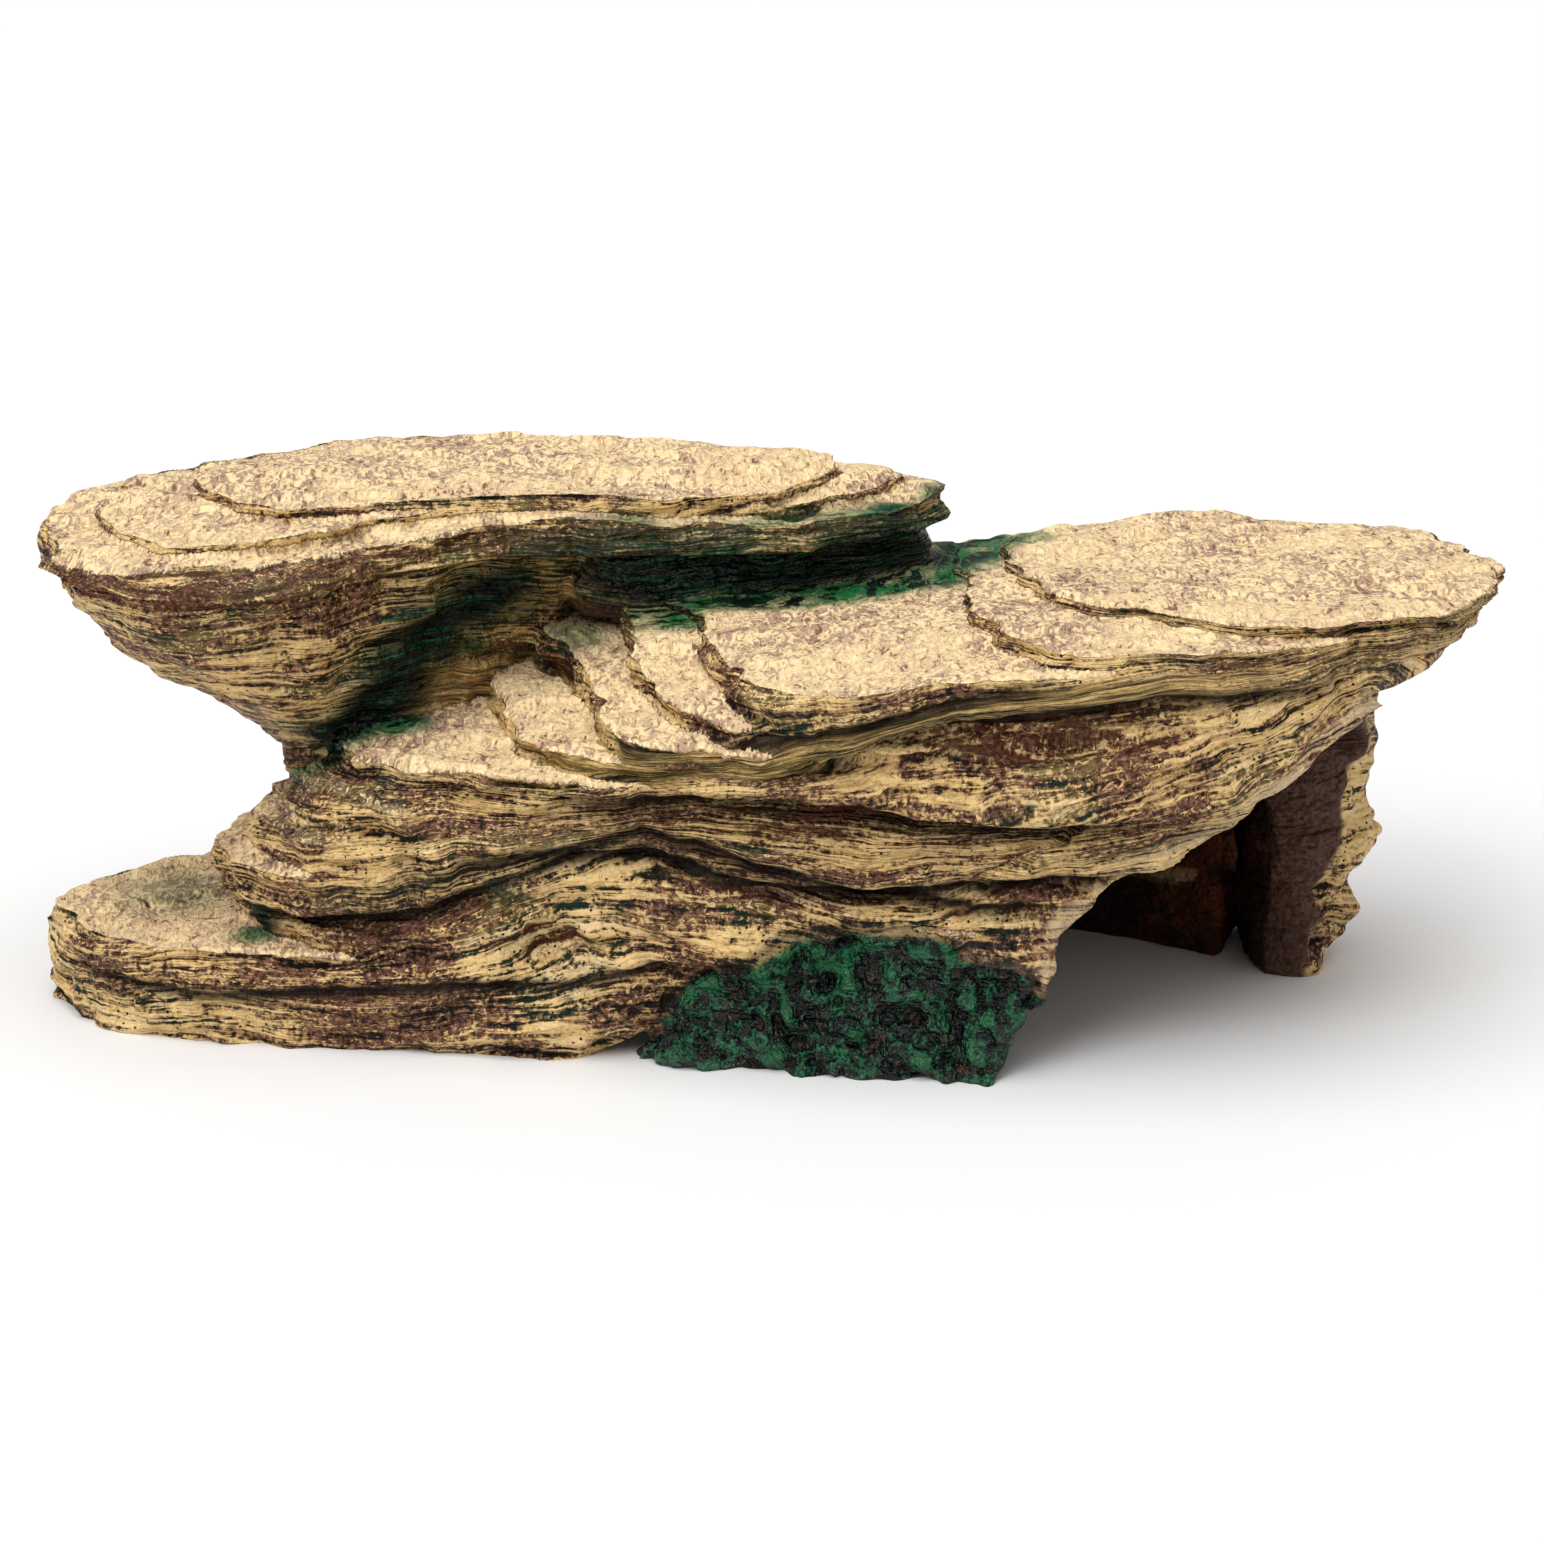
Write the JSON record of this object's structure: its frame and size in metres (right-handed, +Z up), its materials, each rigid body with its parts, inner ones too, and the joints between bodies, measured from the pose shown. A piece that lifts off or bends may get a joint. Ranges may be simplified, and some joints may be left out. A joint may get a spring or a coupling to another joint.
{
  "type": "cave ornament",
  "caption": "Layered rock cave ornament for a pond or aquarium: stacked flat slabs over a hollow with a wide side mouth, and an overhanging basking ledge on the other side.",
  "frame": {"origin": "on the floor, under the middle of the ornament's plan box", "axes": "+X is the long side and points out of the cave's mouth end, -Y is the front, +Z is up"},
  "size_m": [0.33, 0.1343, 0.1177],
  "materials": {
    "ochre_paint": "hand-painted polyresin, ochre and cream dry-brushed over plum brown, semi-gloss varnish",
    "plum_paint": "painted polyresin, plum brown wash",
    "moss_paint": "painted polyresin, black-green with emerald dry-brushing, glossy"
  },
  "bodies": {
    "root": {"base_foot": "ochre_paint", "moss_rock": "moss_paint", "back_base": "ochre_paint", "lobed_wall": "ochre_paint", "rear_pillar": "plum_paint", "mid_course": "ochre_paint", "roof_slab": "ochre_paint", "lower_terrace_step": "ochre_paint", "upper_terrace_step": "ochre_paint", "basking_lower_slab": "ochre_paint", "basking_slab": "ochre_paint", "neck_rock": "moss_paint", "upper_ledge": "ochre_paint", "crevice_rock": "moss_paint", "upper_rim_slab": "ochre_paint", "middle_cap_slab": "ochre_paint", "top_cap_slab": "ochre_paint"}
  },
  "joints": []
}
